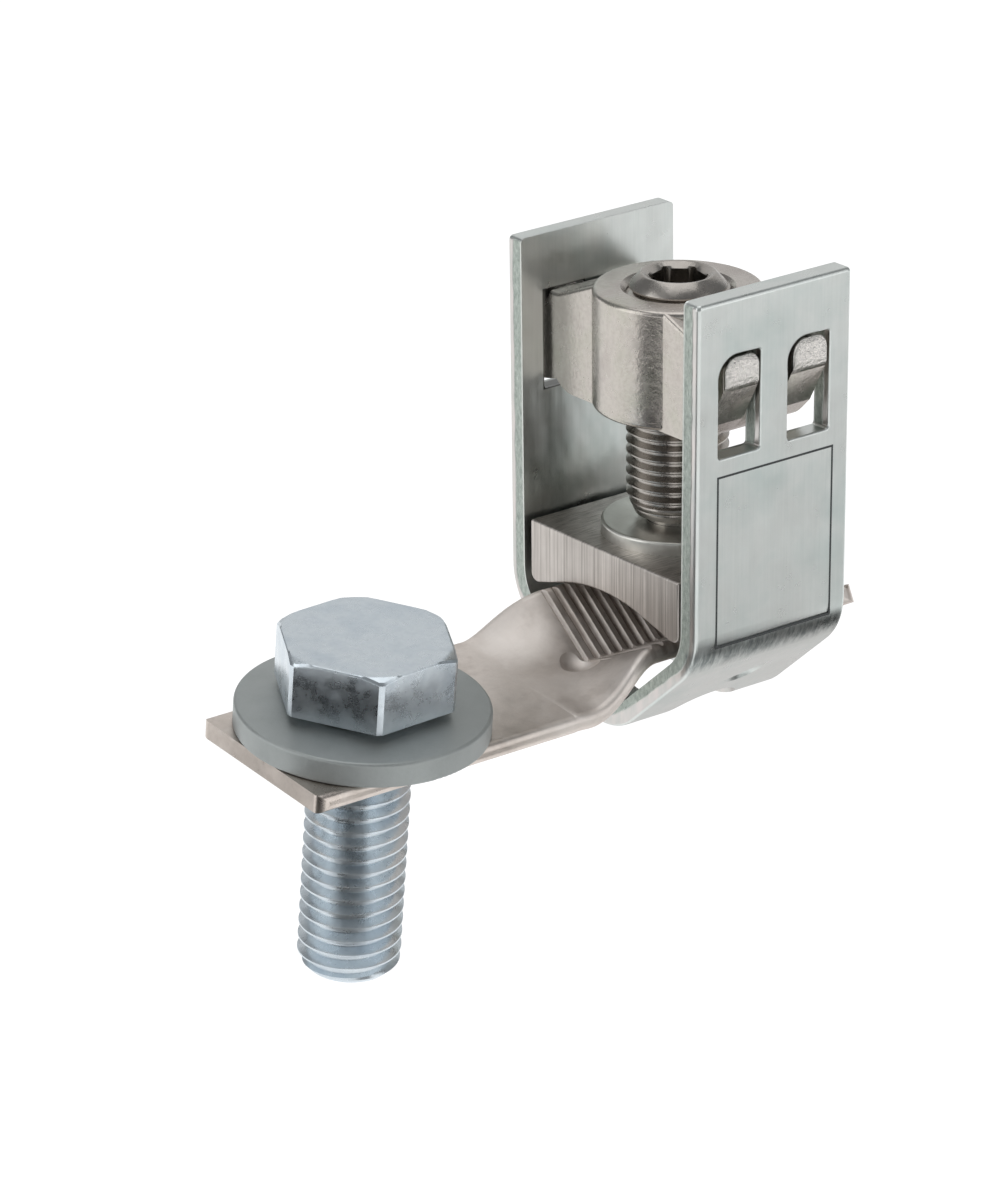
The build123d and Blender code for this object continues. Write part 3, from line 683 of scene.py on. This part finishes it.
# ------------------------------------------------------------------ stage
floor_z = cad_box[0][2] - 0.0002
me = bpy.data.meshes.new("floor")
R = 6.0
me.from_pydata([(-R, -R, floor_z), (R, -R, floor_z), (R, R, floor_z), (-R, R, floor_z)], [], [(0, 1, 2, 3)])
floor = bpy.data.objects.new("floor", me)
bpy.context.scene.collection.objects.link(floor)
fm = Mat("floor_white")
fm.set("Base Color", (0.30, 0.30, 0.30, 1.0))
fm.set("Roughness", 0.9)
fm.set("Specular IOR Level", 0.0)
fm.set("Emission Color", (1.0, 1.0, 1.0, 1.0))
fm.set("Emission Strength", 0.93)
me.materials.append(fm.m)

w = bpy.data.worlds.new("studio")
bpy.context.scene.world = w
w.use_nodes = True
bg = w.node_tree.nodes["Background"]
bg.inputs[0].default_value = (0.80, 0.82, 0.84, 1.0)
bg.inputs[1].default_value = 0.30

centre = Vector((0.025, 0.0, 0.012))
cam_pos = Vector((-0.36917, -0.46306, 0.31517))
right = Vector((0.78474, -0.61664, 0.06282)).normalized()
view = Vector((0.57486, 0.68615, -0.44581)).normalized()
upv = right.cross(view).normalized()


def area(name, loc, size, power, colour=(1, 1, 1), target=centre):
    l = bpy.data.lights.new(name, "AREA")
    l.shape = "RECTANGLE"
    l.size, l.size_y = size
    l.energy = power
    l.color = colour
    ob = bpy.data.objects.new(name, l)
    ob.location = loc
    d = (Vector(target) - Vector(loc)).normalized()
    ob.rotation_euler = d.to_track_quat("-Z", "Y").to_euler()
    bpy.context.scene.collection.objects.link(ob)
    return ob


flat_view = Vector((view.x, view.y, 0)).normalized()
flat_right = Vector((right.x, right.y, 0)).normalized()
area("soft_left", centre - flat_right * 0.75 - flat_view * 0.25 + Vector((0, 0, 0.25)), (0.55, 0.9), 2.0)
area("soft_right", centre + flat_right * 0.80 - flat_view * 0.35 + Vector((0, 0, 0.30)), (0.55, 0.9), 1.5)
area("soft_top", centre + Vector((0.05, 0.15, 0.85)), (0.8, 0.8), 2.2)



def card(name, corners, level, tint=(1.0, 1.0, 1.0)):
    "a flat reflector that is only seen in the metal's reflections"
    me = bpy.data.meshes.new(name)
    me.from_pydata([tuple(Vector(c) * MM) for c in corners], [], [(0, 1, 2, 3)])
    ob = bpy.data.objects.new(name, me)
    bpy.context.scene.collection.objects.link(ob)
    m = Mat(name)
    m.set("Base Color", (0.0, 0.0, 0.0, 1.0))
    m.set("Roughness", 1.0)
    m.set("Specular IOR Level", 0.0)
    m.set("Emission Color", (*tint, 1.0))
    m.set("Emission Strength", level)
    me.materials.append(m.m)
    ob.visible_camera = False
    ob.visible_diffuse = False
    ob.visible_shadow = False
    return ob


def on_floor(x0, x1, y0, y1, lift):
    z = floor_z * 1000 + lift
    return [(x0, y0, z), (x1, y0, z), (x1, y1, z), (x0, y1, z)]


zf = floor_z * 1000 + 0.3
card("flag_left", [(-40, -60, zf), (-40, 3, zf), (-270, 4, zf), (-270, -200, zf)], 0.01)
card("flag_left_back", on_floor(-75, -25, 22, 52, 0.4), 0.50)
card("flag_front", on_floor(22, 56, -92, -46, 0.5), 0.11)
card("flag_front_mid", on_floor(56, 66, -92, -60, 0.5), 0.13)
card("flag_bend", on_floor(66, 97, -92, -27, 0.5), 0.03)
card("flag_under", on_floor(40, 120, -26, 60, 0.35), 0.72, (1.0, 0.965, 0.96))
card("flag_front_far", on_floor(97, 300, -300, -82, 0.6), 0.60)
fx, fy = -0.6427, -0.7661
z_card = floor_z * 1000 + 0.7
card("flag_camera", [(fx * a - fy * b, fy * a + fx * b, z_card) for a, b in ((14, -15), (75, -22), (75, 22), (14, 15))], 0.10)
mid = Vector((25, 0, 12)) + Vector((0.575, 0.686, 0.446)) * 600
side = Vector((0.7661, -0.6427, 0.0))
tall = side.cross(Vector((0.575, 0.686, 0.446)).normalized()).normalized()
card("card_top", [tuple(mid + side * a + tall * b) for a, b in ((-420, -230), (420, -230), (420, 260), (-420, 260))], 0.74)

cam = bpy.data.cameras.new("camera")
cam.sensor_fit = "VERTICAL"
cam.sensor_height = 24.0
cam.lens = 6000.0 / 1181.0 * 24.0
cam.clip_start, cam.clip_end = 0.01, 50.0
cob = bpy.data.objects.new("camera", cam)
rot = Matrix((right, upv, -view)).transposed()
cob.matrix_world = Matrix.Translation(cam_pos) @ rot.to_4x4()
bpy.context.scene.collection.objects.link(cob)
bpy.context.scene.camera = cob
bpy.context.scene.view_settings.view_transform = "Standard"
